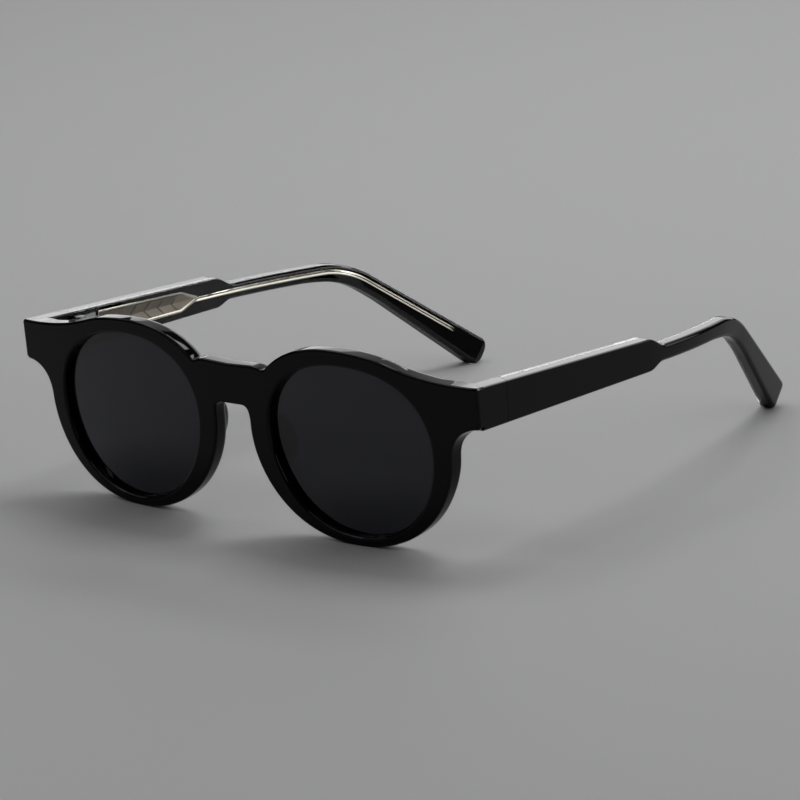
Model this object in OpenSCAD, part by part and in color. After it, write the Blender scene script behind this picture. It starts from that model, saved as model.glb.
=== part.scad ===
/* [Lenses] */
// Boxed width of a lens
lens_w = 47; // [43:0.5:50]
// Boxed height of a lens
lens_h = 41.8; // [38:0.2:45]
// Thickness of a lens
lens_t = 2; // [1.6:0.1:2.2]
// Distance between the two lenses across the nose
bridge_gap = 21.2; // [19:0.2:24]
// How much the outline narrows from the brow down to a rounded chin
lens_taper = 0.024; // [0:0.002:0.03]
// How deep the lens edge sits in the rim's groove
groove = 0.6; // [0.4:0.1:0.8]

/* [Front] */
// Thickness of the front plate
front_t = 4.8; // [4.2:0.1:5.6]
// Radius that the front wraps to around the face
wrap_r = 520; // [400:10:700]
// Forward lean of the front when the frame stands on a table
lean = 3.3; // [2:0.1:5]
// Width of the rim above a lens
rim_top = 3.8; // [3:0.1:5]
// Width of the rim below a lens
rim_low = 2.3; // [1.8:0.1:3.2]
// Width of the rim at the outer side of a lens
rim_side = 5; // [4:0.1:6]
// Width of the rim at the nose side of a lens
rim_nose = 5.8; // [4.8:0.1:6.4]
// Bevel round the rim's outer edges
edge_bevel = 0.6; // [0.2:0.05:0.9]
// Bevel round the lens openings
lens_bevel = 0.8; // [0.3:0.05:1]
// Bevel round the rim's back edges
back_bevel = 1.2; // [0.4:0.05:1.4]
// Height of the bridge's top above the lens centre
bridge_rise = 17.7; // [15:0.1:18.5]
// Height of the bridge from its underside to its top
bridge_h = 10; // [8:0.1:11]
// How far an end piece stands out past its lens
end_reach = 12.9; // [11.5:0.1:15]
// Height of an end piece's top above the lens centre
end_rise = 18.8; // [17:0.1:19.6]

/* [Nose pads] */
// Height of a nose pad
pad_h = 13; // [10:0.5:15]
// How far a nose pad stands behind the rim
pad_out = 4.8; // [4:0.2:6]
// Width of a nose pad
pad_w = 4.8; // [4:0.2:5.4]

/* [Temples] */
// Depth of an end piece from its front corner back to the joint
end_depth = 10.8; // [9:0.2:13]
// Height of a temple at the joint
temple_h = 9.8; // [8.5:0.1:10.4]
// Thickness of a temple
temple_t = 4.6; // [4:0.1:5.2]
// Thickness of the clear lining on a temple's inner side
lining_t = 1.6; // [1.5:0.1:1.9]
// Length of a temple from the joint to the corner of the ear bend
arm_l = 97.5; // [88:0.5:110]
// Where the tall front part of a temple starts to step down
step_at = 53.5; // [44:0.5:60]
// Length of the step
step_l = 7.5; // [6:0.5:10]
// Height of a temple behind the step
arm_h = 4; // [3.6:0.1:4.8]
// Height of a temple at its tip
tip_h = 7.8; // [6:0.1:8]
// Downward slope of the arm
arm_slope = 2.5; // [2:0.1:3.4]
// Further downward turn at the ear bend
ear_turn = 36.2; // [34:0.2:37]
// Radius of the ear bend along the mid line
ear_r = 22; // [16:1:28]
// Radius that the arm curves inward to
splay_r = 165; // [160:5:260]
// Edge bevel on the tall front part of a temple
temple_bevel = 0.5; // [0.2:0.05:0.8]
// Edge rounding on the arm and the tip
arm_bevel = 1.1; // [0.6:0.1:1.3]

/* [Cores] */
// Thickness of the metal core under the lining
core_t = 0.9; // [0.7:0.05:1]
// Height of the wire part of the core
wire_h = 1.3; // [1:0.1:1.8]
// Height of the patterned plate at its front end
plate_h = 6.2; // [5:0.1:6.6]
// Length of the patterned plate up to its arrow
plate_l = 30; // [22:0.5:33]
// Pitch of the chevrons on the plate
chevron_pitch = 5.6; // [4.5:0.1:7]

/* [Hinges] */
// Outer radius of a hinge barrel
barrel_r = 1.25; // [1.1:0.05:1.4]
// Height of one hinge barrel
barrel_h = 1.25; // [1.1:0.05:1.35]
// Radius of the hinge screw
screw_r = 0.7; // [0.6:0.05:0.8]
// Thickness of a hinge leaf
leaf_t = 0.9; // [0.7:0.05:1.1]
// Length of a hinge leaf along its end piece or temple
leaf_l = 5.8; // [5:0.1:6.2]

/* [Hidden] */
$fn = 64;

// Clearances
joint_gap = 0.12;      // between an end piece and its temple when open
leaf_gap = 0.02;       // round a leaf in its pocket
swing_gap = 0.05;      // between a barrel and the plastic that swings past it
barrel_gap = 0.05;     // between neighbouring barrels
screw_run = 0.05;      // round the screw in the temple's barrels
screw_seat = 0.02;     // round the screw in the front's barrels
lens_gap = 0.03;       // round a lens in its groove
seam_gap = 0.02;       // between the core and the temple's outer layer

black = "#0c0d0e";
smoke = [0.10, 0.11, 0.13, 0.85];
clear = [0.80, 0.82, 0.82, 0.35];
nickel = "#b8b0a4";
steel = "#8f9193";

// Sampling of the curves, and how far a cutting solid reaches past what it cuts
lens_steps = 72;
curve_steps = 8;
over = 0.3;
far = 30;
wrap_step = 3;

// The lens opening that shows between the rims
open_w = lens_w - 2 * groove;
open_h = lens_h - 2 * groove;
lens_x = bridge_gap / 2 + lens_w / 2;
rest_bite = 0.15;
lens_z = rim_low + open_h / 2 - rest_bite - (wrap(lens_x) + edge_bevel) * tan(lean);
lens_depth = 1.9;
end_x = bridge_gap / 2 + lens_w + end_reach;
end_top = lens_z + end_rise;
end_low = end_top - temple_h - 0.1;
bridge_top = lens_z + bridge_rise;
bridge_low = bridge_top - bridge_h;

function lerp(a, b, t) = a + (b - a) * t;
function smooth(t) = let (u = min(1, max(0, t))) u * u * (3 - 2 * u);
function bezier(a, b, c, d, n = curve_steps) = [for (i = [1:n - 1]) let (t = i / n, u = 1 - t)
    u * u * u * a + 3 * u * u * t * b + 3 * u * t * t * c + t * t * t * d];

// A closed counter-clockwise outline with its sides moved outward, by one amount or one a point
function side_normal(a, b) = [b[1] - a[1], a[0] - b[0]] / norm(b - a);
function grown(p, by) = let (n = len(p)) [for (i = [0:n - 1]) let (
    before = side_normal(p[(i + n - 1) % n], p[i]),
    after = side_normal(p[i], p[(i + 1) % n]))
    p[i] + (is_list(by) ? by[i] : by) * (before + after) / (1 + before * after)];

// One lens outline about its own centre, stretched to a boxed size
function lens_raw(a) = (1 + lens_taper * sin(3 * a) - 0.017 * sin(2 * a) - 0.011 * cos(4 * a))
    * [cos(a), sin(a)];
raw = [for (i = [0:lens_steps - 1]) lens_raw(i * 360 / lens_steps)];
raw_lo = [min([for (p = raw) p[0]]), min([for (p = raw) p[1]])];
raw_hi = [max([for (p = raw) p[0]]), max([for (p = raw) p[1]])];
function to_box(p, w, h) = [lens_x + w * ((p[0] - raw_lo[0]) / (raw_hi[0] - raw_lo[0]) - 0.5),
    lens_z + h * ((p[1] - raw_lo[1]) / (raw_hi[1] - raw_lo[1]) - 0.5)];
function lens_point(a) = to_box(lens_raw(a), open_w, open_h);
opening = [for (p = raw) to_box(p, open_w, open_h)];
lens_edge = grown(opening, groove);

// Rim width round the lens, through its four named widths
function rim_width(a) =
    (rim_side + rim_top + rim_nose + rim_low) / 4
    + (rim_side - rim_nose) / 2 * cos(a) + (rim_top - rim_low) / 2 * sin(a)
    + (rim_side + rim_nose - rim_top - rim_low) / 4 * cos(2 * a);
function rim_point(a) = let (d = lens_point(a + 1) - lens_point(a - 1))
    lens_point(a) + rim_width(a) * [d[1], -d[0]] / norm(d);
function rim_run(a) = let (d = rim_point(a + 1) - rim_point(a - 1)) d / norm(d);

// Half of the front's outline, from the middle of the bridge's underside round to its top
nose_a = 172;
side_a = 362;
brow_a = 422;
notch_a = 503;
corner = 0.7;
shoulder = [7.4, bridge_top + 0.1];
half_outline = let (
    step = 360 / lens_steps,
    under = [3.2, bridge_low],
    nose = rim_point(nose_a),
    side = rim_point(side_a),
    brow = rim_point(brow_a),
    notch = rim_point(notch_a),
    low = [end_x - corner, end_low],
    top = [end_x - temple_bevel, end_top]
) concat(
    [[0, bridge_low], under],
    bezier(under, under + [1.8, 0], nose - 2.4 * rim_run(nose_a), nose),
    [for (a = [nose_a:step:side_a]) rim_point(a)],
    bezier(side, side + 4.6 * rim_run(side_a), low - [4.6, 0.2], low),
    [low, low + [corner, corner], top + temple_bevel * [1, -1], top],
    bezier(top, top - [8, 0], brow - 8 * rim_run(brow_a), brow),
    [for (a = [brow_a:step:notch_a]) rim_point(a)],
    bezier(notch, notch + [-0.5, 0.5], shoulder + [1.2, 0], shoulder, 4),
    [shoulder, [0, bridge_top - 0.2]]);
outline = concat(half_outline,
    [for (i = [len(half_outline) - 2:-1:1]) [-half_outline[i][0], half_outline[i][1]]]);

// Towards the back of the plate an end piece's top falls with the line of the temple
top_fall = lean + arm_slope + 0.5;
back_outline = [for (p = outline) p[1] > lens_z && abs(p[0]) > lens_x
    ? p - [0, front_t * tan(top_fall) * smooth((abs(p[0]) - end_x + 9) / 6)] : p];

back_cut = [for (p = outline) -lerp(back_bevel, edge_bevel / 2, smooth((abs(p[0]) - end_x + 11) / 6))];

// The front stands in its own frame: x across, y back from the wrapped face, z up the leaning plate
function wrap(x) = wrap_r - sqrt(wrap_r * wrap_r - x * x);
function to_world(p) = [p[0], p[1] * cos(lean) - p[2] * sin(lean), p[1] * sin(lean) + p[2] * cos(lean)];
function on_front(p, depth) = to_world([p[0], wrap(p[0]) + depth, p[1]]);
module leaning() { rotate([lean, 0, 0]) children(); }

// The front's top outer corner, from which the end piece runs back to the mitred joint
corner_y = on_front([end_x, end_top], 0)[1];
corner_z = on_front([end_x, end_top], 0)[2];
joint_y = corner_y + end_depth;
mitre = 2.8;
inner_x = end_x - temple_t;
shell_t = temple_t - lining_t;

// Half heights of a temple above and below its mid line
step_up = 0.45 * temple_h;
step_down = 0.35 * temple_h;
front_up = temple_h / 2 + (temple_h / 2 - step_up) * end_depth / step_at;
joint_z = corner_z - end_depth * sin(arm_slope) - front_up;
function arm_half(s) = lerp(arm_h, tip_h, max(0, s - bend_mid) / (temple_l - bend_mid)) / 2;
function bend_fill(s) = ear_fill * pow(max(0, 1 - pow((s - bend_mid) / bend_l, 2)), 2);
function half_up(s) = s < step_at ? lerp(temple_h / 2, step_up, s / step_at)
    : lerp(step_up, arm_half(s), smooth((s - step_at) / step_l));
function half_down(s) = s < step_at ? lerp(temple_h / 2, step_down, s / step_at)
    : lerp(step_down, arm_half(s), smooth((s - step_at - 0.5) / (0.75 * step_l))) + bend_fill(s);
function bevel_at(s) = lerp(temple_bevel, arm_bevel, smooth((s - step_at) / step_l));

// The rounded tip, and how far its lowest point lies below the end of the mid line
cap_l = 2.8;
cap_power = 3.2;
function cap_share(t) = pow(1 - pow(min(1, max(0, t)), cap_power), 1 / cap_power);
ear_slope = arm_slope + ear_turn;
tip_sag = -min([for (t = [0:0.05:1])
    cap_l * (1 - t) * sin(ear_slope) - tip_h / 2 * cap_share(t) * cos(ear_slope)]);

// Mid line of a temple in side view: straight, the ear bend, then straight down to the table
bend_in = ear_r * tan(ear_turn / 2);
arm_straight = arm_l - bend_in;
bend_l = ear_r * ear_turn * PI / 180;
bend_mid = arm_straight + bend_l / 2;
ear_fill = 0.8;
ear_l = (joint_z - arm_l * sin(arm_slope) - tip_sag + rest_bite) / sin(ear_slope);
temple_l = arm_straight + bend_l + ear_l - bend_in;
reach = 2 * temple_l;
function turn_at(s) = arm_slope + ear_turn * min(1, max(0, (s - arm_straight) / bend_l));
function along(a) = [cos(a), -sin(a)];
function mid_line(s) = let (
    start = [joint_y, joint_z],
    centre = start + arm_straight * along(arm_slope) - ear_r * [sin(arm_slope), cos(arm_slope)],
    a = turn_at(s))
    s <= arm_straight ? start + s * along(arm_slope)
    : centre + ear_r * [sin(a), cos(a)] + max(0, s - arm_straight - bend_l) * along(a);

// Inward curve of a temple in plan
splay_lead = 3.5;
splay_from = joint_y + (step_at - splay_lead) * cos(arm_slope);
splay_run = 58;
function splay(y) = let (
    d = min(splay_run, max(0, y - splay_from)),
    end = sqrt(splay_r * splay_r - splay_run * splay_run))
    splay_r - sqrt(splay_r * splay_r - d * d) + max(0, y - splay_from - splay_run) * splay_run / end;

// Stations along a temple: close together where it steps and bends, and over the rounded tip
body_stations = concat([-2, step_at / 2, step_at - splay_lead], [for (i = [0:10]) step_at + i * step_l / 10],
    [for (i = [1:7]) lerp(step_at + step_l, arm_straight, i / 7)],
    [for (i = [1:6]) arm_straight + i * bend_l / 6],
    [for (i = [1:6]) lerp(arm_straight + bend_l, temple_l - cap_l, i / 6)]);
tip_stations = [for (t = [0.35, 0.6, 0.8, 0.92, 0.98]) temple_l - cap_l + t * cap_l];

// Hinge: its axis stands just inboard of the joint's inner corner
pivot_x = inner_x - barrel_r - swing_gap;
pivot_y = joint_y + mitre;
hinge_h = 5 * barrel_h + 4 * barrel_gap;
hinge_low = joint_z - hinge_h / 2;
leaf_start = 1;
leaf_proud = 0.3;
tail_l = 2.4;
stud_r = 0.7;
stud_l = 1.3;
head_r = 1.15;
head_h = 0.6;
slot_w = 0.3;

// The metal core: a patterned plate with an arrow end, then a wire along the mid line
plate_from = mitre + leaf_start + leaf_l + 1.5;
plate_to = plate_from + plate_l;
arrow_l = 6;
wire_to = temple_l - 10;
plate_narrow = 0.85;
plate_up = 0.45;
function core_rise(s) = arm_half(s) - arm_h / 2
    + plate_up * (1 - min(1, max(0, (s - plate_to) / arrow_l)));
function core_half(s) = s < plate_to
    ? plate_h / 2 * lerp(1, plate_narrow, (s - plate_from) / plate_l)
    : lerp(plate_h / 2 * plate_narrow, wire_h / 2, min(1, (s - plate_to) / arrow_l));
core_stations = concat([plate_from, plate_to, plate_to + arrow_l],
    [for (i = [1:len(body_stations) - 1]) let (s = (body_stations[i - 1] + body_stations[i]) / 2)
        if (s > plate_to + arrow_l + 1 && s < wire_to - 1) s], [wire_to]);
field_depth = 0.15;
border = 0.45;
rib_w = 0.4;

// A solid through rings of equally many points, with flat ends. The rings run counter-clockwise
// as seen from the end that they lead to.
module loft(rings) {
    n = len(rings[0]);
    m = len(rings);
    polyhedron(
        points = [for (r = rings) each r],
        faces = concat(
            [[for (i = [0:n - 1]) i]],
            [for (j = [0:m - 2]) for (i = [0:n - 1]) each let (a = j * n + i, b = j * n + (i + 1) % n)
                [[a, a + n, b], [b, a + n, b + n]]],
            [[for (i = [n - 1:-1:0]) (m - 1) * n + i]]));
}

module both_sides() {
    children();
    mirror([1, 0, 0]) children();
}

module above_table() {
    translate([-reach, -reach, 0]) cube(2 * reach);
}

// Everything on one side of the mitred joint: side = 1 behind it, -1 in front of it
module beyond_mitre(side, gap) {
    run = temple_l / 2;
    rise = run * mitre / temple_t;
    translate([0, side * gap, -reach / 2]) linear_extrude(reach) polygon([
        [end_x + run, joint_y - rise], [inner_x - run, pivot_y + rise],
        [inner_x - run, pivot_y + side * reach], [end_x + run, pivot_y + side * reach]]);
}

// Front frame

module wrapped_shell(depth, thickness) {
    translate([0, wrap_r, -10]) difference() {
        cylinder(r = wrap_r - depth, h = 80, $fn = 720);
        translate([0, 0, -1]) cylinder(r = wrap_r - depth - thickness, h = 82, $fn = 720);
    }
}

function depth_ring(p, depth) = [for (q = p) [q[0], wrap(q[0]) + depth, q[1]]];
function flat_ring(p, y) = [for (q = p) [q[0], y, q[1]]];

// Side walls of the front plate or of an opening. Each ends in a bevel, which draws in where the
// rise is less than nothing, and runs on at the same slope past the plate's face.
module bevelled_walls(front, back, front_rise, back_rise) {
    front_size = is_list(front_rise) ? max([for (r = front_rise) abs(r)]) : abs(front_rise);
    back_size = is_list(back_rise) ? max([for (r = back_rise) abs(r)]) : abs(back_rise);
    past_back = grown(back, back_rise * (1 + over));
    past_front = grown(front, front_rise * (1 + over));
    loft([
        flat_ring(past_back, far),
        depth_ring(past_back, front_t + over * back_size),
        depth_ring(back, front_t - back_size),
        depth_ring(front, front_size),
        depth_ring(past_front, -over * front_size),
        flat_ring(past_front, -far)]);
}

// The wrapped face of the plate is a row of narrow flats, which follow the arc within 0.01 mm
module plate() {
    reach = wrap_step * ceil((end_x + 2) / wrap_step);
    intersection() {
        bevelled_walls(outline, back_outline, -edge_bevel, back_cut);
        translate([0, 0, -10]) linear_extrude(80) polygon(concat(
            [for (x = [-reach:wrap_step:reach]) [x, wrap(x)]],
            [for (x = [reach:-wrap_step:-reach]) [x, wrap(x) + front_t]]));
    }
}

// A lens, or the groove that it sits in when gap is more than nothing
module lens_blank(gap) {
    intersection() {
        translate([0, far, 0]) rotate([90, 0, 0]) linear_extrude(2 * far) polygon(grown(lens_edge, gap));
        wrapped_shell(lens_depth - gap, lens_t + 2 * gap);
    }
}

module end_piece() {
    intersection() {
        loft([for (s = [front_t / 2 - end_depth, 6])
            temple_ring(s, 0, temple_t, true, true, half_up(s), half_down(s))]);
        beyond_mitre(-1, 0);
    }
    leaf_end = pivot_y - leaf_start - leaf_l - 0.5;
    plate_back = corner_y + front_t - 0.5;
    translate([0, 0, joint_z - temple_h / 2 + 1]) linear_extrude(temple_h - 2) polygon([
        [inner_x + 1, plate_back - 1], [inner_x + 1, leaf_end], [inner_x, leaf_end],
        [inner_x - 3, plate_back], [inner_x - 3, plate_back - 1]]);
}

module front_frame() {
    color(black) intersection() {
        difference() {
            union() {
                leaning() plate();
                both_sides() end_piece();
            }
            both_sides() {
                leaning() bevelled_walls(opening, opening, lens_bevel, edge_bevel);
                leaning() lens_blank(lens_gap);
                leaf_pocket(-1);
            }
        }
        above_table();
    }
}

module lens() {
    color(smoke) leaning() lens_blank(0);
}

module nose_pad() {
    root_x = bridge_gap / 2 - 2;
    foot = front_t + 0.3;
    r = pad_w / 2;
    color(black) leaning() intersection() {
        hull() {
            translate([root_x, foot, lens_z + pad_h / 2 - r]) sphere(r, $fn = 32);
            translate([root_x + 3.4, foot, lens_z - pad_h / 2 + r - 0.5]) sphere(r, $fn = 32);
            translate([root_x + 2.6, front_t + pad_out - 1.8, lens_z - 1]) sphere(1.8, $fn = 32);
        }
        translate([0, wrap_r, 0]) cylinder(r = wrap_r - front_t, h = 80, $fn = 720);
    }
}

// Hinges

module leaf_plate(side, gap) {
    from = pivot_y + side * leaf_start;
    to = from + side * leaf_l;
    translate([inner_x - leaf_proud, min(from, to) - gap, hinge_low - gap])
        cube([leaf_t + gap, leaf_l + 2 * gap, hinge_h + 2 * gap]);
    for (k = [0.22, 0.78])
        translate([inner_x - leaf_proud, from + side * k * leaf_l, joint_z])
            rotate([0, 90, 0]) cylinder(r = stud_r + gap, h = leaf_t + stud_l + gap, $fn = 24);
}

module leaf_pocket(side) {
    leaf_plate(side, leaf_gap);
}

// One leaf: its plate in the plastic, and barrels at the given places of five from the bottom
module leaf(side, places, clearance) {
    difference() {
        union() {
            leaf_plate(side, 0);
            for (k = places) translate([0, 0, hinge_low + k * (barrel_h + barrel_gap)]) {
                translate([pivot_x, pivot_y, 0]) cylinder(r = barrel_r, h = barrel_h);
                translate([pivot_x, side > 0 ? pivot_y : pivot_y - tail_l, 0])
                    cube([barrel_r, tail_l, barrel_h]);
            }
        }
        translate([pivot_x, pivot_y, hinge_low - 1]) cylinder(r = screw_r + clearance, h = hinge_h + 2);
    }
}

module front_hinge() {
    color(steel) leaf(-1, [0, 2, 4], screw_seat);
}

module temple_hinge() {
    color(steel) leaf(1, [1, 3], screw_run);
}

module hinge_screw() {
    color(steel) translate([pivot_x, pivot_y, hinge_low]) difference() {
        union() {
            cylinder(r = screw_r, h = hinge_h);
            translate([0, 0, hinge_h]) cylinder(r = head_r, h = head_h);
        }
        translate([-head_r - 1, -slot_w / 2, hinge_h + head_h / 2]) cube([2 * head_r + 2, slot_w, head_h]);
    }
}

// Temples

// One ring across a temple, between two depths inward of its outer face, bevelled where it shows
function temple_ring(s, lo, hi, bevel_out, bevel_in, up, down) = let (
    m = mid_line(s), a = turn_at(s), x = end_x - splay(m[0]),
    b = min(bevel_at(s), 0.45 * (up + down)), q = 0.29 * b,
    flat = concat(
        bevel_out ? [[lo, b - down], [lo + q, q - down], [lo + b, -down]] : [[lo, -down]],
        bevel_in ? [[hi - b, -down], [hi - q, q - down], [hi, b - down]] : [[hi, -down]],
        bevel_in ? [[hi, up - b], [hi - q, up - q], [hi - b, up]] : [[hi, up]],
        bevel_out ? [[lo + b, up], [lo + q, up - q], [lo, up - b]] : [[lo, up]]))
    [for (f = flat) [x - f[0], m[0] + f[1] * sin(a), m[1] + f[1] * cos(a)]];

// A layer of a temple between two depths; its outer or inner side draws in over the tip
module temple_layer(lo, hi, bevel_out, bevel_in) {
    seam = shell_t;
    intersection() {
        loft([for (s = concat(body_stations, tip_stations)) let (
            share = cap_share((s - temple_l + cap_l) / cap_l),
            near = bevel_out ? lerp(seam - 1.2, lo, share) : lo,
            away = bevel_in ? lerp(seam + 1.2, hi, share) : hi)
            temple_ring(s, near, away, bevel_out, bevel_in, half_up(s) * share, half_down(s) * share)]);
        beyond_mitre(1, joint_gap);
        above_table();
    }
}

// The core, or the pocket for it where sunk is more than nothing. It keeps its distance from the
// temple's top edge where the ear piece grows wider.
module core_body(sunk) {
    loft([for (s = core_stations) let (up = core_rise(s) + core_half(s), down = core_half(s) - core_rise(s))
        temple_ring(s, shell_t - sunk, shell_t + core_t, false, false, up, down)]);
}

module temple_shell() {
    color(black) difference() {
        temple_layer(0, shell_t, true, false);
        leaf_pocket(1);
    }
}

module temple_lining() {
    color(clear) difference() {
        temple_layer(shell_t, temple_t, false, true);
        leaf_pocket(1);
        core_body(over);
    }
}

// The plate's sunk field, with a raised border and raised chevrons that open towards the tip
module plate_field() {
    h0 = core_half(plate_from) - border;
    h1 = core_half(plate_to) - border;
    translate([end_x - shell_t - core_t, joint_y, joint_z]) rotate([-arm_slope, 0, 0])
        rotate([90, 0, 90]) translate([0, plate_up, 0]) difference() {
            translate([0, 0, -1]) linear_extrude(1 + field_depth) polygon([
                [plate_from + border, -h0], [plate_to, -h1], [plate_to + 0.7 * arrow_l, 0],
                [plate_to, h1], [plate_from + border, h0]]);
            for (s = [plate_from + 1.5:chevron_pitch:plate_to]) for (way = [-1, 1])
                translate([0, 0, -2]) linear_extrude(3) polygon([
                    [s, 0], [s + rib_w, 0], [s + rib_w + 0.6 * plate_h, way * plate_h],
                    [s + 0.6 * plate_h, way * plate_h]]);
        }
}

module temple_core() {
    color(nickel) difference() {
        core_body(-seam_gap);
        plate_field();
    }
}

// The whole part stands with its rims and tips on the table, its origin below its middle
tip_y = max([for (s = concat(body_stations, tip_stations)) mid_line(s)[0]
    + half_up(s) * cap_share((s - temple_l + cap_l) / cap_l) * sin(turn_at(s))]);
front_y = min([for (p = outline) on_front(p, 0)[1]]);
module placed(left) {
    translate([0, -(tip_y + front_y) / 2, 0]) mirror([left ? 0 : 1, 0, 0]) children();
}

placed(true) front_frame();
placed(true) lens();  // lens_left
placed(false) lens();  // lens_right
placed(true) nose_pad();  // nose_pad_left
placed(false) nose_pad();  // nose_pad_right
placed(true) front_hinge();  // front_hinge_left
placed(false) front_hinge();  // front_hinge_right
placed(true) hinge_screw();  // hinge_screw_left
placed(false) hinge_screw();  // hinge_screw_right
placed(true) temple_hinge();  // temple_hinge_left
placed(false) temple_hinge();  // temple_hinge_right
placed(true) temple_shell();  // temple_shell_left
placed(false) temple_shell();  // temple_shell_right
placed(true) temple_lining();  // temple_lining_left
placed(false) temple_lining();  // temple_lining_right
placed(true) temple_core();  // temple_core_left
placed(false) temple_core();  // temple_core_right
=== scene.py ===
"""Round acetate sunglasses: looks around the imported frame. Shapes are worked out in millimetres."""

import math

import bmesh
import bpy
from mathutils import Matrix, Vector


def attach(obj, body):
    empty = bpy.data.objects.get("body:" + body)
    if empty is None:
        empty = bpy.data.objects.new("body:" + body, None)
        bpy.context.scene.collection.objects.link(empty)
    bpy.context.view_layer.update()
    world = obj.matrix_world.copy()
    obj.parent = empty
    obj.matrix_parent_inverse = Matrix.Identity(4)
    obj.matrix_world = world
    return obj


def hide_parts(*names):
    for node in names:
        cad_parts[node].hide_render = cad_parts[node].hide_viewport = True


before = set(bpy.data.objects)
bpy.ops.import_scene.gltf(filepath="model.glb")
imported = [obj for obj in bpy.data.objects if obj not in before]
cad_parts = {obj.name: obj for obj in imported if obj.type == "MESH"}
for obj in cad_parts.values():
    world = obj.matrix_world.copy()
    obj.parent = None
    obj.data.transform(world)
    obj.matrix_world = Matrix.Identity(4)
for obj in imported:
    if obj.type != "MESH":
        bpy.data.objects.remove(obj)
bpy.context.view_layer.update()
MM = 0.001

# Lenses and rims
LENS_W, LENS_H, LENS_T = 47, 41.8, 2
LENS_TAPER, LENS_SKEW, LENS_SQUARE = 0.024, 0.017, 0.011
LENS_DEPTH, LENS_DOME = 1.9, 0.55
LENS_RINGS = [1, 0.985, 0.94, 0.85, 0.7, 0.5, 0.25]
BRIDGE_GAP = 21.2
GROOVE, GROOVE_ROOM = 0.6, 0.03
OPEN_W, OPEN_H = LENS_W - 2 * GROOVE, LENS_H - 2 * GROOVE
RIM_TOP, RIM_LOW, RIM_SIDE, RIM_NOSE = 3.8, 2.3, 5, 5.8
RIM_FLAT = 1.05
NOSE_A, SIDE_A, BROW_A, NOTCH_A = 172, 362, 422, 503
ANGLE_STEP = 2.5

# Front
FRONT_T = 4.8
WRAP_R = 520
LEAN = 3.3
FRONT_ROUND, BACK_ROUND = 0.6, 2.0
OPENING_BEVEL, BACK_OPENING_ROUND = 0.8, 0.6
FLAT_EDGE = 0.15
BRIDGE_RISE, BRIDGE_H, BRIDGE_SAG, UNDER_X = 17.7, 10, 0.2, 3.2
SHOULDER_X, SHOULDER_UP = 7.4, 0.1
END_REACH, END_RISE, END_CORNER, END_EXTRA = 12.9, 18.8, 0.7, 0.1
END_ROUND, END_ROUND_FROM, END_FALL, END_FALL_FROM, END_FADE_L = 0.3, 11, 0.5, 9, 6
REST_BITE = 0.15
SLICE_TO, SLICE_STEP = 69, 3

# Pulls of the curves between a rim and its neighbours
UNDER_PULL, NOSE_PULL = 1.8, 2.4
SIDE_PULL, LOW_PULL = 4.6, (4.6, 0.2)
BROW_PULL = 8
NOTCH_PULL, SHOULDER_PULL = (-0.5, 0.5), 1.2

# Temples
END_DEPTH = 10.8
TEMPLE_H, TEMPLE_T, LINING_T = 9.8, 4.6, 1.6
SHELL_T = TEMPLE_T - LINING_T
ARM_L, STEP_AT, STEP_L = 97.5, 53.5, 7.5
STEP_UP, STEP_DOWN, LOW_STEP_LATE, LOW_STEP_SHARE = 0.45, 0.35, 0.5, 0.75
ARM_H, TIP_H = 4, 7.8
ARM_SLOPE, EAR_TURN, EAR_R, EAR_FILL = 2.5, 36.2, 22, 0.8
SPLAY_R, SPLAY_RUN, SPLAY_LEAD = 165, 58, 3.5
TEMPLE_BEVEL, ARM_BEVEL, BEVEL_SHARE = 0.5, 1.1, 0.45
CAP_L, CAP_POWER, CAP_THIN = 2.8, 3.2, 1.2
TIP_SHARES = (0.2, 0.35, 0.48, 0.6, 0.7, 0.78, 0.85, 0.9, 0.94, 0.97, 0.985, 0.995)
MITRE, JOINT_GAP = 2.8, 0.12
SEAM_OVERLAP, SEAM_FACING = 0.02, -0.7

# End pieces and the hinge leaves sunk in them
PIN_TO_LEAF, LEAF_L, LEAF_END_ROOM, LEAF_TO_PLATE = 1, 5.8, 0.5, 1.5
BLOCK_TO = 6
BRACE_BITE, BRACE_REACH, BRACE_SUNK = 1, 3, 0.5

# Cores
CORE_T, WIRE_H = 0.9, 1.3
PLATE_H, PLATE_L, PLATE_NARROW, PLATE_UP = 6.2, 30, 0.85, 0.45
PLATE_FROM = MITRE + PIN_TO_LEAF + LEAF_L + LEAF_TO_PLATE
PLATE_TO = PLATE_FROM + PLATE_L
ARROW_L, ARROW_TIP_IN = 6, 0.1
WIRE_SHORT, WIRE_BITE = 10, 0.6
WIRE_END_FROM, WIRE_END, WIRE_BLUNT = 1.5, (1, 0.4, 0.1, 0), 0.35
WIRE_SECTION = [(0, -0.9), (0.5, -1), (0.82, -0.97), (0.96, -0.88), (1, -0.74), (0.97, -0.4), (0.88, 0),
                (0.77, 0.4), (0.66, 0.72), (0.54, 0.88), (0.36, 0.97), (0.2, 1), (0, 1)]
PLATE_BEVEL, BORDER = 0.08, 0.3
WALL_W, WALL_DEPTH, WALL_FOOT, FIELD_DEPTH = 0.45, 0.15, 0.02, 0.58
CHEVRON_FROM, CHEVRON_PITCH, CHEVRON_LEAN = 3.8, 5.0, 1.15
CHEVRON_STEP, CHEVRON_SLANT, CHEVRON_RISE = 0.3, 0.6, 0.14
CHEVRON_ROOT, CHEVRON_OVERLAP = 0.1, 0.02

# Pads
PAD_H, PAD_OUT, PAD_W = 13, 4.8, 4.8
PAD_LEAN, PAD_TURN, PAD_SUNK, PAD_DROP = 0.26, 0.12, 0.1, 0.4

# Shading
SHARP, PLATE_SHARP, ARROW_SHARP = 38, 25, 8
FINE_DETAIL, FINE_SCALE = 6, 8
BUMP_DEPTH = 0.0001

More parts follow.
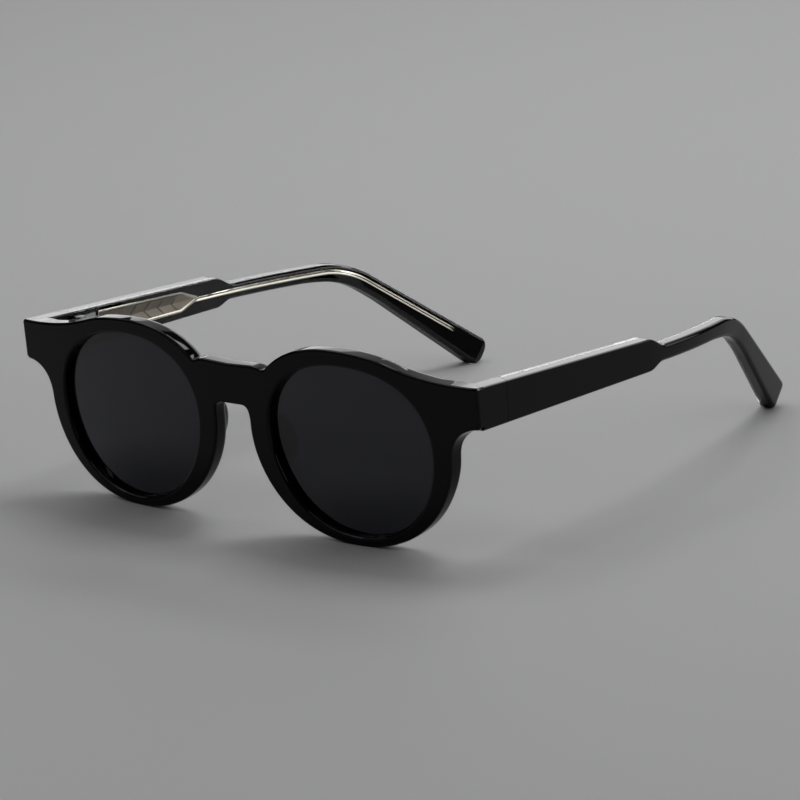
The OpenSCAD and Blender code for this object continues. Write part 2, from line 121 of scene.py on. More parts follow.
# Camera, solved from the photograph
AZIMUTH, ELEVATION, ROLL = 40.470, 14.852, -3.305
FOCAL_PIXELS, PHOTO_PIXELS, SENSOR = 4303, 800, 36
AIM, CAMERA_AWAY = (-2.358, -11.78, 15.418), 1.0496


def lerp(a, b, t):
    return a + (b - a) * t


def smooth(t):
    u = min(1, max(0, t))
    return u * u * (3 - 2 * u)


def steps(first, last, step):
    return [first + i * step for i in range(int(round((last - first) / step)) + 1)]


def bezier(a, b, c, d, n=12):
    spots = []
    for i in range(1, n):
        t, u = i / n, 1 - i / n
        spots.append(u**3 * a + 3 * u * u * t * b + 3 * u * t * t * c + t**3 * d)
    return spots


def lens_raw(angle):
    """A point of the lens outline about its own centre, before it is fitted to its size."""
    a = math.radians(angle)
    r = 1 + LENS_TAPER * math.sin(3 * a) - LENS_SKEW * math.sin(2 * a) - LENS_SQUARE * math.cos(4 * a)
    return Vector((r * math.cos(a), r * math.sin(a)))


def wrap(x):
    return WRAP_R - math.sqrt(WRAP_R**2 - x * x)


END_X = BRIDGE_GAP / 2 + LENS_W + END_REACH
INNER_X = END_X - TEMPLE_T
LENS_X = (BRIDGE_GAP + LENS_W) / 2
lean = math.radians(LEAN)
lens_z = RIM_LOW + OPEN_H / 2 - REST_BITE - (wrap(LENS_X) + FRONT_ROUND) * math.tan(lean)
raw = [lens_raw(a) for a in steps(0, 355, 5)]
raw_lo = Vector((min(p.x for p in raw), min(p.y for p in raw)))
raw_hi = Vector((max(p.x for p in raw), max(p.y for p in raw)))


def lens_point(angle):
    p = lens_raw(angle)
    return Vector((LENS_X + OPEN_W * ((p.x - raw_lo.x) / (raw_hi.x - raw_lo.x) - 0.5),
                   lens_z + OPEN_H * ((p.y - raw_lo.y) / (raw_hi.y - raw_lo.y) - 0.5)))


def rim_width(angle):
    a = math.radians(angle)
    return ((RIM_SIDE + RIM_TOP + RIM_NOSE + RIM_LOW) / 4 + (RIM_SIDE - RIM_NOSE) / 2 * math.cos(a)
            + (RIM_TOP - RIM_LOW) / 2 * math.sin(a)
            + (RIM_SIDE + RIM_NOSE - RIM_TOP - RIM_LOW) / 4 * math.cos(2 * a))


def rim_point(angle):
    run = (lens_point(angle + 1) - lens_point(angle - 1)).normalized()
    return lens_point(angle) + rim_width(angle) * Vector((run.y, -run.x))


def rim_run(angle):
    return (rim_point(angle + 1) - rim_point(angle - 1)).normalized()


def grown(points, by):
    """A closed counter-clockwise outline with its sides moved outward."""
    moved = []
    for i, p in enumerate(points):
        sides = []
        for a, b in ((points[i - 1], p), (p, points[(i + 1) % len(points)])):
            run = (b - a).normalized()
            sides.append(Vector((run.y, -run.x)))
        amount = by[i] if isinstance(by, list) else by
        moved.append(p + amount * (sides[0] + sides[1]) / (1 + sides[0].dot(sides[1])))
    return moved


def half_outline():
    """Half of the front's outline, and for each point the radius of its back edge."""
    bridge_top = lens_z + BRIDGE_RISE
    bridge_low = bridge_top - BRIDGE_H
    end_top = lens_z + END_RISE
    end_low = end_top - TEMPLE_H - END_EXTRA
    under = Vector((UNDER_X, bridge_low))
    nose, side, brow, notch = (rim_point(a) for a in (NOSE_A, SIDE_A, BROW_A, NOTCH_A))
    low = Vector((END_X - END_CORNER, end_low))
    top = Vector((END_X - TEMPLE_BEVEL, end_top))
    shoulder = Vector((SHOULDER_X, bridge_top + SHOULDER_UP))
    lower, upper = steps(NOSE_A, SIDE_A, ANGLE_STEP), steps(BROW_A, NOTCH_A, ANGLE_STEP)
    rows = [[Vector((0, bridge_low)), under],
            bezier(under, under + Vector((UNDER_PULL, 0)), nose - NOSE_PULL * rim_run(NOSE_A), nose),
            [rim_point(a) for a in lower],
            bezier(side, side + SIDE_PULL * rim_run(SIDE_A), low - Vector(LOW_PULL), low),
            [low, low + Vector((END_CORNER, END_CORNER)), top + Vector((TEMPLE_BEVEL, -TEMPLE_BEVEL)), top],
            bezier(top, top - Vector((BROW_PULL, 0)), brow - BROW_PULL * rim_run(BROW_A), brow, 16),
            [rim_point(a) for a in upper],
            bezier(notch, notch + Vector(NOTCH_PULL), shoulder + Vector((SHOULDER_PULL, 0)), shoulder, 5),
            [shoulder, Vector((0, bridge_top - BRIDGE_SAG))]]
    widths = [[BACK_ROUND] * len(row) for row in rows]
    for row, angles in ((2, lower), (6, upper)):
        widths[row] = [min(BACK_ROUND, rim_width(a) - RIM_FLAT) for a in angles]
    points = [p for row in rows for p in row]
    rounds = [lerp(w, END_ROUND, smooth((p.x - END_X + END_ROUND_FROM) / END_FADE_L))
              for p, w in zip(points, sum(widths, []))]
    return points, rounds


def mirrored(points):
    return [Vector((-p.x, p.y)) for p in points[::-1]]


half, half_rounds = half_outline()
outline = half + mirrored(half[1:-1])
back_rounds = half_rounds + half_rounds[1:-1][::-1]
top_fall = math.tan(math.radians(LEAN + ARM_SLOPE + END_FALL))
back_outline = [p - Vector((0, FRONT_T * top_fall * smooth((abs(p.x) - END_X + END_FALL_FROM) / END_FADE_L)))
                if p.y > lens_z and abs(p.x) > LENS_X else p for p in outline]
opening = [lens_point(a) for a in steps(0, 360 - ANGLE_STEP, ANGLE_STEP)]


def on_front(x, depth, height):
    """From the front's own frame: across, back from the wrapped face and up the leaning plate."""
    y = wrap(x) + depth
    return Vector((x, y * math.cos(lean) - height * math.sin(lean),
                   y * math.sin(lean) + height * math.cos(lean)))


front_y = min(on_front(p.x, 0, p.y).y for p in outline)
corner_at = on_front(END_X, 0, lens_z + END_RISE)
joint_y = corner_at.y + END_DEPTH
pivot_y = joint_y + MITRE
slope = math.radians(ARM_SLOPE)
step_up, step_down = STEP_UP * TEMPLE_H, STEP_DOWN * TEMPLE_H
joint_z = (corner_at.z - END_DEPTH * math.sin(slope) - TEMPLE_H / 2
           - (TEMPLE_H / 2 - step_up) * END_DEPTH / STEP_AT)


def cap_share(t):
    """How much of a temple's section is left along its rounded tip."""
    return (1 - min(1, max(0, t))**CAP_POWER)**(1 / CAP_POWER)


ear_slope = math.radians(ARM_SLOPE + EAR_TURN)
tip_sag = -min(CAP_L * (1 - t) * math.sin(ear_slope) - TIP_H / 2 * cap_share(t) * math.cos(ear_slope)
               for t in steps(0, 1, 0.05))
bend_in = EAR_R * math.tan(math.radians(EAR_TURN / 2))
bend_from = ARM_L - bend_in
bend_l = EAR_R * math.radians(EAR_TURN)
bend_mid = bend_from + bend_l / 2
ear_l = (joint_z - ARM_L * math.sin(slope) - tip_sag + REST_BITE) / math.sin(ear_slope)
temple_l = bend_from + bend_l + ear_l - bend_in
wire_to = temple_l - WIRE_SHORT


def arm_half(s):
    return lerp(ARM_H, TIP_H, max(0, s - bend_mid) / (temple_l - bend_mid)) / 2


def half_up(s):
    if s < STEP_AT:
        return lerp(TEMPLE_H / 2, step_up, s / STEP_AT)
    return lerp(step_up, arm_half(s), smooth((s - STEP_AT) / STEP_L))


def half_down(s):
    if s < STEP_AT:
        return lerp(TEMPLE_H / 2, step_down, s / STEP_AT)
    fill = EAR_FILL * max(0, 1 - ((s - bend_mid) / bend_l)**2)**2
    share = smooth((s - STEP_AT - LOW_STEP_LATE) / (LOW_STEP_SHARE * STEP_L))
    return lerp(step_down, arm_half(s), share) + fill


def turn_at(s):
    return slope + math.radians(EAR_TURN) * min(1, max(0, (s - bend_from) / bend_l))


def mid_line(s):
    """Mid line of a temple in side view: straight, the ear bend, then straight down to the table."""
    along = Vector((math.cos(slope), -math.sin(slope)))
    start = Vector((joint_y, joint_z))
    if s <= bend_from:
        return start + s * along
    a = turn_at(s)
    centre = start + bend_from * along - EAR_R * Vector((math.sin(slope), math.cos(slope)))
    return (centre + EAR_R * Vector((math.sin(a), math.cos(a)))
            + max(0, s - bend_from - bend_l) * Vector((math.cos(a), -math.sin(a))))


def splay(y):
    """Inward curve of a temple in plan."""
    d = y - joint_y - (STEP_AT - SPLAY_LEAD) * math.cos(slope)
    curved = min(SPLAY_RUN, max(0, d))
    root = math.sqrt(SPLAY_R**2 - SPLAY_RUN**2)
    return SPLAY_R - math.sqrt(SPLAY_R**2 - curved**2) + max(0, d - SPLAY_RUN) * SPLAY_RUN / root


stations = ([-2, 12, STEP_AT / 2, 40, STEP_AT - SPLAY_LEAD]
            + steps(STEP_AT, STEP_AT + STEP_L, STEP_L / 20)
            + [lerp(STEP_AT + STEP_L, bend_from, i / 16) for i in range(1, 17)]
            + [bend_from + i * bend_l / 16 for i in range(1, 17)]
            + [lerp(bend_from + bend_l, temple_l - CAP_L, i / 12) for i in range(1, 13)])
tips = [temple_l - CAP_L + CAP_L * t for t in TIP_SHARES]
tip_y = max(mid_line(s)[0] + half_up(s) * cap_share((s - temple_l + CAP_L) / CAP_L) * math.sin(turn_at(s))
            for s in stations + tips)
SHIFT = Vector((0, -(tip_y + front_y) / 2, 0))


# Mesh helpers
def loft(bm, rings, capped=True):
    """Carry one closed ring of points through the others, loop by loop. Returns the two end loops."""
    row = [bm.verts.new(p) for p in rings[0]]
    loop = [bm.edges.new(pair) for pair in zip(row, row[1:] + row[:1])]
    first = list(loop)
    if capped:
        bmesh.ops.edgeloop_fill(bm, edges=loop)
    for ring in rings[1:]:
        made = bmesh.ops.extrude_edge_only(bm, edges=loop)["geom"]
        fresh = {g for g in made if isinstance(g, bmesh.types.BMVert)}
        row = [next(e.other_vert(v) for e in v.link_edges if e.other_vert(v) in fresh) for v in row]
        for v, p in zip(row, ring):
            v.co = p
        loop = [bm.edges.get(pair) for pair in zip(row, row[1:] + row[:1])]
    if capped:
        bmesh.ops.edgeloop_fill(bm, edges=loop)
    return first, loop


def cut(bm, point, normal):
    """Take away what lies past a plane, and close the cut."""
    geom = bm.verts[:] + bm.edges[:] + bm.faces[:]
    made = bmesh.ops.bisect_plane(bm, geom=geom, dist=1e-5, plane_co=point, plane_no=normal, clear_outer=True)
    rim = [g for g in made["geom_cut"] if isinstance(g, bmesh.types.BMEdge)]
    if rim:
        bmesh.ops.edgeloop_fill(bm, edges=rim)


def piece(name, bm, left=True, sharp=SHARP):
    """A finished mesh object in metres, on the wearer's left or mirrored to the right."""
    bmesh.ops.translate(bm, vec=SHIFT, verts=bm.verts)
    bmesh.ops.scale(bm, vec=(MM if left else -MM, MM, MM), verts=bm.verts)
    bmesh.ops.recalc_face_normals(bm, faces=bm.faces)
    mesh = bpy.data.meshes.new(name)
    bm.to_mesh(mesh)
    bm.free()
    obj = bpy.data.objects.new(name, mesh)
    bpy.context.scene.collection.objects.link(obj)
    mesh.shade_smooth()
    mesh.set_sharp_from_angle(angle=math.radians(sharp))
    return obj


def modified(obj, kind, **settings):
    """Apply one modifier to an object's mesh."""
    mod = obj.modifiers.new(kind.title(), kind)
    for key, value in settings.items():
        setattr(mod, key, value)
    depsgraph = bpy.context.evaluated_depsgraph_get()
    mesh = bpy.data.meshes.new_from_object(obj.evaluated_get(depsgraph))
    obj.modifiers.clear()
    obj.data = mesh
    return obj


def unite(obj, others):
    """Join closed solids into one, and drop the extra objects."""
    for other in others:
        modified(obj, "BOOLEAN", operation="UNION", solver="EXACT", object=other)
        bpy.data.objects.remove(other)


def even_shading(obj):
    """Let broad faces keep their own normals beside small roundings."""
    obj.data.shade_smooth()
    obj.data.set_sharp_from_angle(angle=math.radians(SHARP))
    return modified(obj, "WEIGHTED_NORMAL", keep_sharp=True, mode="FACE_AREA", weight=60)


def arc(radius, n=4):
    """Inset and depth of the points of a rounded edge, from the face round to the side."""
    return [(radius * (1 - math.sin(t)), radius * (1 - math.cos(t)))
            for t in (math.pi / 2 * i / n for i in range(n + 1))]


def level(points, depth):
    """A flat outline at one depth, or with a depth for each of its points."""
    depths = depth if isinstance(depth, list) else [depth] * len(points)
    return [Vector((p.x, d, p.y)) for p, d in zip(points, depths)]


# Front frame
def outer_rings():
    rings = [level(grown(outline, -FRONT_ROUND - FLAT_EDGE), 0)]
    rings += [level(grown(outline, -inset), depth) for inset, depth in arc(FRONT_ROUND)]
    for share_in, share_deep in reversed(arc(1, 6)):
        inset = [-share_in * r for r in back_rounds]
        rings.append(level(grown(back_outline, inset), [FRONT_T - share_deep * r for r in back_rounds]))
    rings.append(level(grown(back_outline, [-r - FLAT_EDGE for r in back_rounds]), FRONT_T))
    return rings


def opening_rings(flip):
    near, away = LENS_DEPTH - GROOVE_ROOM, LENS_DEPTH + LENS_T + GROOVE_ROOM
    sunk = GROOVE + GROOVE_ROOM
    profile = [(OPENING_BEVEL + FLAT_EDGE, 0)] + arc(OPENING_BEVEL, 5)
    profile += [(0, near), (sunk, near), (sunk, away), (0, away)]
    profile += [(out, FRONT_T - deep) for out, deep in reversed(arc(BACK_OPENING_ROUND))]
    profile += [(BACK_OPENING_ROUND + FLAT_EDGE, FRONT_T)]
    points = mirrored(opening) if flip else opening
    return [level(grown(points, out), depth) for out, depth in profile]


def front_plate():
    bm = bmesh.new()
    walls = (outer_rings(), opening_rings(False), opening_rings(True))
    loops = [loft(bm, rings, capped=False) for rings in walls]
    for end in (0, 1):
        edges = [e for pair in loops for e in pair[end]]
        bmesh.ops.triangle_fill(bm, use_beauty=True, use_dissolve=False, edges=edges, normal=(0, 1, 0))
    for x in steps(-SLICE_TO, SLICE_TO, SLICE_STEP):
        flat = [f for f in bm.faces if abs(f.normal.y) > 0.9999]
        geom = list({v for f in flat for v in f.verts}) + list({e for f in flat for e in f.edges}) + flat
        bmesh.ops.bisect_plane(bm, geom=geom, dist=1e-4, plane_co=(x, 0, 0), plane_no=(1, 0, 0))
    for v in bm.verts:
        v.co = on_front(*v.co)
    cut(bm, (0, 0, 0), (0, 0, -1))
    return piece("front", bm)


# Sections that the temples share with the front's end pieces
def corner_ring(s, lo, hi, outer, inner, up, down, bevel):
    """One ring across a temple between two depths inward of its outer face, rounded where it shows."""
    turn = arc(min(bevel, BEVEL_SHARE * (up + down)))
    flat = []
    for low_side, depth in ((True, lo), (True, hi), (False, hi), (False, lo)):
        edge, way = (-down, 1) if low_side else (up, -1)
        shows, inward = (outer, 1) if depth == lo else (inner, -1)
        spots = [(depth, edge)]
        if shows:
            spots = [(depth + inward * deep, edge + way * inset) for inset, deep in turn]
        side_first = (depth == lo) == low_side
        flat += spots if side_first else spots[::-1]
    y, z = mid_line(s)
    a = turn_at(s)
    x = END_X - splay(y)
    return [Vector((x - d, y + h * math.sin(a), z + h * math.cos(a))) for d, h in flat]


def bevel_at(s):
    return lerp(TEMPLE_BEVEL, ARM_BEVEL, smooth((s - STEP_AT) / STEP_L))


def cut_mitre(bm, side, gap):
    """Keep what lies behind the mitred joint (side 1) or in front of it (side -1)."""
    normal = Vector((-side * MITRE / TEMPLE_T, -side, 0)).normalized()
    cut(bm, (END_X, joint_y + side * gap, 0), normal)


def end_block(left):
    """The end piece that wraps back from the front to the mitred joint."""
    bm = bmesh.new()
    loft(bm, [corner_ring(s, 0, TEMPLE_T, True, True, half_up(s), half_down(s), TEMPLE_BEVEL)
              for s in (FRONT_T / 2 - END_DEPTH, BLOCK_TO)])
    cut_mitre(bm, -1, 0)
    return piece("end_block", bm, left)


def end_brace(left):
    """The slope that thickens the inner corner between the front and an end piece."""
    bm = bmesh.new()
    leaf_end = pivot_y - PIN_TO_LEAF - LEAF_L - LEAF_END_ROOM
    back = corner_at.y + FRONT_T - BRACE_SUNK
    front_side, reach = back - BRACE_BITE, INNER_X - BRACE_REACH
    row = [(INNER_X + BRACE_BITE, front_side), (INNER_X + BRACE_BITE, leaf_end), (INNER_X, leaf_end),
           (reach, back), (reach, front_side)]
    low, high = joint_z - TEMPLE_H / 2 + BRACE_BITE, joint_z + TEMPLE_H / 2 - BRACE_BITE
    loft(bm, [[Vector((x, y, z)) for x, y in row] for z in (low, high)])
    return piece("end_brace", bm, left)


front = front_plate()
unite(front, [end_block(True), end_block(False), end_brace(True), end_brace(False)])
even_shading(front)


# Lenses
def lens(name, left):
    bm = bmesh.new()
    edge = grown(opening, GROOVE)
    middle = Vector((LENS_X, lens_z))
    rings = [level([middle.lerp(p, share) for p in edge], depth - LENS_DOME * (1 - share**2))
             for depth, shares in ((LENS_DEPTH, LENS_RINGS[::-1]), (LENS_DEPTH + LENS_T, LENS_RINGS))
             for share in shares]
    loft(bm, rings)
    for v in bm.verts:
        v.co = on_front(*v.co)
    return piece(name, bm, left)


# Nose pads
def nose_pad(name, left):
    bm = bmesh.new()
    bmesh.ops.create_icosphere(bm, subdivisions=4, radius=1)
    bmesh.ops.scale(bm, vec=(PAD_W / 2, PAD_OUT + PAD_SUNK, PAD_H / 2), verts=bm.verts)
    for v in bm.verts:
        v.co.x += PAD_TURN * v.co.y - PAD_LEAN * v.co.z
    centre = (BRIDGE_GAP / 2 - PAD_SUNK, FRONT_T - PAD_SUNK, lens_z - PAD_DROP)
    bmesh.ops.translate(bm, vec=centre, verts=bm.verts)
    cut(bm, (0, FRONT_T - 2 * PAD_SUNK, 0), (0, -1, 0))
    for v in bm.verts:
        v.co = on_front(*v.co)
    return piece(name, bm, left)


# Temple layers
def temple_layer(name, left, lo, hi, outer, inner):
    """One layer of a temple, from its mitred end to its rounded tip."""
    bm = bmesh.new()
    rings = []
    for s in stations + tips:
        share = cap_share((s - temple_l + CAP_L) / CAP_L)
        near = lerp(SHELL_T - CAP_THIN, lo, share) if outer else lo
        away = lerp(SHELL_T + CAP_THIN, hi, share) if inner else hi
        up, down = half_up(s) * share, half_down(s) * share
        rings.append(corner_ring(s, near, away, outer, inner, up, down, bevel_at(s)))
    loft(bm, rings)
    cut_mitre(bm, 1, JOINT_GAP)
    cut(bm, (0, 0, 0), (0, 0, -1))
    return even_shading(piece(name, bm, left))


# Metal cores
def core_rise(s):
    """Height of the wire above the temple's mid line."""
    return arm_half(s) - ARM_H / 2 + PLATE_UP * (1 - min(1, max(0, (s - PLATE_TO) / ARROW_L)))


def core_wire(name, left):
    """The wire, with an inner face that is tilted a little upward."""
    bm = bmesh.new()
    wire_from = PLATE_TO + ARROW_L
    spots = [wire_from - WIRE_BITE] + [s for s in stations if wire_from < s < wire_to - WIRE_END_FROM]
    rings = []
    for s in spots + [wire_to - left_over for left_over in WIRE_END]:
        share = max(WIRE_BLUNT, math.sqrt(1 - max(0, s - wire_to + 1)**2))
        y, z = mid_line(s)
        a = turn_at(s)
        ring = []
        for out, h in WIRE_SECTION:
            d = SHELL_T + (CORE_T * out * share if out > 0 else -SEAM_OVERLAP)
            rise = core_rise(s) + WIRE_H / 2 * h * share
            ring.append(Vector((END_X - splay(y) - d, y + rise * math.sin(a), z + rise * math.cos(a))))
        rings.append(ring)
    loft(bm, rings)
    return piece(name, bm, left)


def on_plate(bm):
    """Carry a flat drawing of length, height and outward relief onto the temple's inner side."""
    for v in bm.verts:
        s, h, out = v.co
        y, z = mid_line(s)
        rise = h + PLATE_UP + arm_half(s) - ARM_H / 2
        v.co = Vector((END_X - SHELL_T - CORE_T - out, y + rise * math.sin(slope),
                       z + rise * math.cos(slope)))


def core_plate(name, left):
    """The plate: a bevelled border round a sunk field."""
    bm = bmesh.new()
    wide, narrow, wire = PLATE_H / 2, PLATE_H / 2 * PLATE_NARROW, WIRE_H / 2 - ARROW_TIP_IN
    arrow_to = PLATE_TO + ARROW_L
    drawing = [(PLATE_FROM, -wide), (PLATE_TO, -narrow), (arrow_to, -wire),
               (arrow_to, wire), (PLATE_TO, narrow), (PLATE_FROM, wide)]
    loft(bm, [[Vector((s, h, out)) for s, h in drawing] for out in (-CORE_T - SEAM_OVERLAP, -PLATE_BEVEL)])
    bmesh.ops.recalc_face_normals(bm, faces=bm.faces)
    top = max(bm.faces, key=lambda f: f.calc_center_median().z)
    for thickness, depth in ((PLATE_BEVEL, PLATE_BEVEL), (BORDER - PLATE_BEVEL, 0), (WALL_W, -WALL_DEPTH),
                             (WALL_FOOT, WALL_DEPTH - FIELD_DEPTH)):
        bmesh.ops.inset_region(bm, faces=[top], thickness=thickness, depth=depth, use_even_offset=True)
    on_plate(bm)
    return piece(name, bm, left, PLATE_SHARP)


def chevrons(name, left):
    """Arrows on the plate's sunk field: two slopes that meet in a valley, with a step between arrows."""
    bm = bmesh.new()
    inset = BORDER + WALL_W - CHEVRON_OVERLAP
    start, edge = PLATE_FROM + inset, PLATE_H / 2 - inset
    taper = PLATE_H / 2 * (1 - PLATE_NARROW) / PLATE_L
    tip_drop = PLATE_H / 2 * PLATE_NARROW - WIRE_H / 2 + ARROW_TIP_IN
    base, valley = -FIELD_DEPTH - CHEVRON_ROOT, -FIELD_DEPTH + CHEVRON_OVERLAP
    sweep = CHEVRON_LEAN * edge
    for k in range(int(PLATE_L / CHEVRON_PITCH) + 1):
        near = PLATE_TO - CHEVRON_FROM - k * CHEVRON_PITCH
        far = near + CHEVRON_PITCH + (0 if k else ARROW_L)
        crest = near + CHEVRON_SLANT
        inner = [(near, valley), (crest, valley + CHEVRON_STEP), (far, valley), (far, base), (near, base)]
        outer = [(s + sweep, out + (CHEVRON_RISE if out > base else 0)) for s, out in inner]
        for way in (-1, 1):
            rows = ((inner, 0), (outer, way * edge))
            loft(bm, [[Vector((s, h, out)) for s, out in row] for row, h in rows])
    cut(bm, (start, 0, 0), (-1, 0, 0))
    for way in (-1, 1):
        cut(bm, (PLATE_FROM, way * edge, 0), Vector((taper, way, 0)).normalized())
        flank = Vector((tip_drop, way * ARROW_L, 0)).normalized()
        cut(bm, Vector((PLATE_TO, way * PLATE_H / 2 * PLATE_NARROW, 0)) - inset * flank, flank)
    bmesh.ops.holes_fill(bm, edges=[e for e in bm.edges if e.is_boundary])
    on_plate(bm)
    return piece(name, bm, left, ARROW_SHARP)


# Materials
def node(tree, kind, at, **settings):
    """A new shader node at a place in its tree."""
    made = tree.nodes.new(kind)
    made.location = at
    for key, value in settings.items():
        setattr(made, key, value)
    return made


def surface_group():
    """Polishing haze and faint unevenness of a hand-finished surface."""
    group = bpy.data.node_groups.new("Hand polish", "ShaderNodeTree")
    face = group.interface
    for name, low, value in (("Roughness", 0, 0.1), ("Haze", 0, 0.05), ("Scale", 0, 300.0)):
        socket = face.new_socket(name=name, in_out="INPUT", socket_type="NodeSocketFloat")
        socket.default_value, socket.min_value = value, low
    for name in ("Roughness", "Height"):
        face.new_socket(name=name, in_out="OUTPUT", socket_type="NodeSocketFloat")
    start, end = node(group, "NodeGroupInput", (-900, 0)), node(group, "NodeGroupOutput", (500, 0))
    place = node(group, "ShaderNodeTexCoord", (-900, -250))
    cloud = node(group, "ShaderNodeTexNoise", (-600, 150))
    fine = node(group, "ShaderNodeTexNoise", (-600, -200))
    fine.inputs["Detail"].default_value = FINE_DETAIL
    wide = node(group, "ShaderNodeMath", (-750, -100), operation="MULTIPLY")
    wide.inputs[1].default_value = FINE_SCALE
    patch = node(group, "ShaderNodeMath", (-300, 100), operation="MULTIPLY")
    total = node(group, "ShaderNodeMath", (-50, 100), operation="ADD")
    link = group.links.new
    link(place.outputs["Object"], cloud.inputs["Vector"])
    link(place.outputs["Object"], fine.inputs["Vector"])
    link(start.outputs["Scale"], cloud.inputs["Scale"])
    link(start.outputs["Scale"], wide.inputs[0])
    link(wide.outputs[0], fine.inputs["Scale"])
    link(cloud.outputs["Fac"], patch.inputs[0])
    link(start.outputs["Haze"], patch.inputs[1])
    link(patch.outputs[0], total.inputs[0])
    link(start.outputs["Roughness"], total.inputs[1])
    link(total.outputs[0], end.inputs["Roughness"])
    link(fine.outputs["Fac"], end.inputs["Height"])
    return group


polish = surface_group()


def material(name, colour, roughness, haze, scale, bump, metallic=0.0, **sockets):
    """A finish: its roughness and haze, and the scale and strength of its fine unevenness."""
    made = bpy.data.materials.new(name)
    made.use_nodes = True
    tree = made.node_tree
    shader = next(n for n in tree.nodes if n.type == "BSDF_PRINCIPLED")
    shader.inputs["Base Color"].default_value = (*colour, 1)
    shader.inputs["Metallic"].default_value = metallic
    for key, value in sockets.items():
        shader.inputs[key.replace("_", " ").title().replace("Ior", "IOR")].default_value = value
    group = node(tree, "ShaderNodeGroup", (-600, 0), node_tree=polish)
    group.inputs["Roughness"].default_value = roughness
    group.inputs["Haze"].default_value = haze
    group.inputs["Scale"].default_value = scale
    bumps = node(tree, "ShaderNodeBump", (-300, -200))
    bumps.inputs["Strength"].default_value = bump
    bumps.inputs["Distance"].default_value = BUMP_DEPTH
    tree.links.new(group.outputs["Roughness"], shader.inputs["Roughness"])
    tree.links.new(group.outputs["Height"], bumps.inputs["Height"])
    tree.links.new(bumps.outputs["Normal"], shader.inputs["Normal"])
    return made


black_acetate = material("Black acetate", (0.0004, 0.0005, 0.0005), 0.02, 0.03, 150, 0.02,
                         ior=1.49, specular_ior_level=0.17)
seam_acetate = material("Black acetate under the lining", (0.002, 0.002, 0.002), 0.6, 0.1, 150, 0.0,
                        specular_ior_level=0)
pad_acetate = material("Satin black acetate", (0.0004, 0.0005, 0.0005), 0.25, 0.05, 150, 0.02,
                       ior=1.49, specular_ior_level=0.12)
clear_acetate = material("Clear acetate", (0.93, 0.95, 0.93), 0.01, 0.02, 150, 0.01,
                         ior=1.49, transmission_weight=1)
smoke_lens = material("Smoke lens", (0.009, 0.0096, 0.0145), 0.0, 0.01, 60, 0.005,
                      ior=1.5, transmission_weight=1, specular_ior_level=0.2)
nickel = material("Nickel silver", (0.46, 0.40, 0.33), 0.26, 0.1, 400, 0.12, metallic=1)
polished_nickel = material("Polished nickel silver", (0.78, 0.74, 0.66), 0.12, 0.06, 400, 0.03, metallic=1)
steel = material("Brushed steel", (0.56, 0.57, 0.58), 0.22, 0.12, 500, 0.08, metallic=1)


def dress(obj, finish, slot, body, *nodes):
    """Give a piece its finish, its body and the solids that it stands in for."""
    obj.data.materials.clear()
    obj.data.materials.append(finish)
    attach(obj, body)
    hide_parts(*nodes)


dress(front, black_acetate, "black_acetate", "frame", "front_frame")
for side, left in (("left", True), ("right", False)):
    temple = "temple_" + side
    dress(lens("lens_disc_" + side, left), smoke_lens, "smoke_lens", "frame", "lens_" + side)
    dress(nose_pad("pad_" + side, left), pad_acetate, "black_acetate", "frame", "nose_pad_" + side)
    shell = temple_layer("shell_" + side, left, 0, SHELL_T, True, False)
    dress(shell, black_acetate, "black_acetate", temple, "temple_shell_" + side)
    shell.data.materials.append(seam_acetate)
    for face in shell.data.polygons:
        if face.normal.x * (1 if left else -1) < SEAM_FACING:
            face.material_index = 1
    dress(temple_layer("lining_" + side, left, SHELL_T - SEAM_OVERLAP, TEMPLE_T, False, True), clear_acetate,
          "clear_acetate", temple, "temple_lining_" + side)
    dress(core_wire("wire_" + side, left), polished_nickel, "nickel", temple, "temple_core_" + side)
    dress(core_plate("plate_" + side, left), polished_nickel, "nickel", temple, "temple_core_" + side)
    dress(chevrons("arrows_" + side, left), nickel, "nickel", temple, "temple_core_" + side)
for name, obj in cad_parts.items():
    if "hinge" in name:
        obj.data.materials.clear()
        obj.data.materials.append(steel)


# Floor, lights and camera
def grey(name, value, roughness):
    made = bpy.data.materials.new(name)
    made.use_nodes = True
    shader = next(n for n in made.node_tree.nodes if n.type == "BSDF_PRINCIPLED")
    shader.inputs["Base Color"].default_value = (*value, 1)
    shader.inputs["Roughness"].default_value = roughness
    shader.inputs["Specular IOR Level"].default_value = 0.2
    return made


bm = bmesh.new()
bmesh.ops.create_grid(bm, x_segments=4, y_segments=4, size=4)
floor_mesh = bpy.data.meshes.new("floor")
bm.to_mesh(floor_mesh)
bm.free()
floor = bpy.data.objects.new("floor", floor_mesh)
bpy.context.scene.collection.objects.link(floor)
floor.data.materials.append(grey("Studio floor", (0.36, 0.36, 0.364), 0.75))


def direction(azimuth, elevation):
    """Outward from the object. Azimuth 0 is in front, a quarter turn is on the wearer's left."""
    flat = math.cos(elevation)
    return Vector((math.sin(azimuth) * flat, -math.cos(azimuth) * flat, math.sin(elevation)))


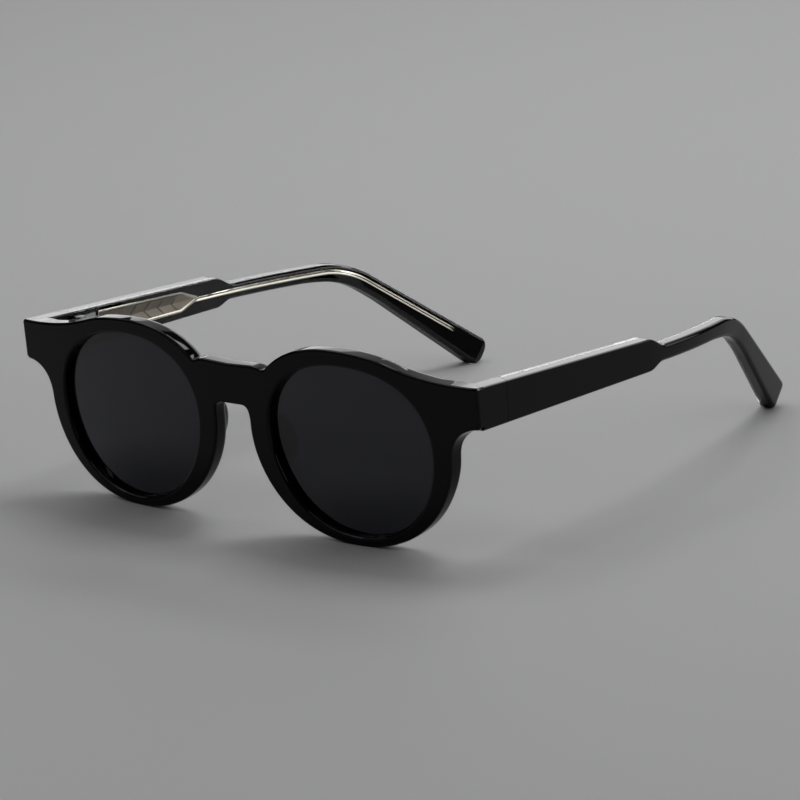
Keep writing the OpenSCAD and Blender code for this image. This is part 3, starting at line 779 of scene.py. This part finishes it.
def lamp(name, azimuth, elevation, distance, size, radiance):
    """A soft box that faces the object."""
    away = direction(math.radians(azimuth), math.radians(elevation))
    light = bpy.data.lights.new(name, "AREA")
    light.shape = "RECTANGLE"
    light.size, light.size_y = size
    light.energy = radiance * math.pi * size[0] * size[1]
    obj = bpy.data.objects.new(name, light)
    obj.matrix_world = Matrix.Translation(away * distance) @ away.to_track_quat("Z", "Y").to_matrix().to_4x4()
    bpy.context.scene.collection.objects.link(obj)


lamp("top_box", 190, 66, 1, (0.4, 0.4), 6.5)
lamp("back_strip", 180, 38.5, 2, (1.86, 0.2), 5)
lamp("key_box", 258, 62, 1.6, (0.85, 0.7), 2.2)
lamp("ceiling", 262, 50, 3, (3.9, 1.7), 0.4)
lamp("back_panel", 205, 21.4, 6, (4.35, 0.92), 1.85)
lamp("back_panel_mid", 208, 13, 6, (4.95, 0.86), 2.0)
lamp("back_panel_low", 208, 6, 6, (4.95, 0.6), 1.7)
lamp("back_panel_high", 202, 34, 6, (4.6, 1.85), 0.6)
lamp("side_card", 330, 12, 3, (1.5, 0.8), 0.2)
lamp("strip_box", 121, 26, 3, (5.1, 1.65), 1.4)
lamp("front_strip", 342, 54, 1.6, (1.5, 0.1), 6)

world = bpy.data.worlds.new("Studio")
world.use_nodes = True
world.node_tree.nodes["Background"].inputs["Color"].default_value = (0.5, 0.5, 0.51, 1)
world.node_tree.nodes["Background"].inputs["Strength"].default_value = 0.1
bpy.context.scene.world = world

azimuth, elevation, roll = (math.radians(a) for a in (AZIMUTH, ELEVATION, ROLL))
back = direction(azimuth, elevation)
level_right = Vector((math.cos(azimuth), math.sin(azimuth), 0))
level_up = back.cross(level_right)
right = level_right * math.cos(roll) + level_up * math.sin(roll)
up = level_up * math.cos(roll) - level_right * math.sin(roll)
camera_data = bpy.data.cameras.new("camera")
camera_data.sensor_width = SENSOR
camera_data.lens = FOCAL_PIXELS * SENSOR / PHOTO_PIXELS
camera_data.clip_start, camera_data.clip_end = 0.05, 50
camera = bpy.data.objects.new("camera", camera_data)
turn = Matrix((right, up, back)).transposed()
camera.matrix_world = Matrix.Translation(Vector(AIM) * MM + back * CAMERA_AWAY) @ turn.to_4x4()
bpy.context.scene.collection.objects.link(camera)
bpy.context.scene.camera = camera
bpy.context.scene.view_settings.view_transform = "Standard"
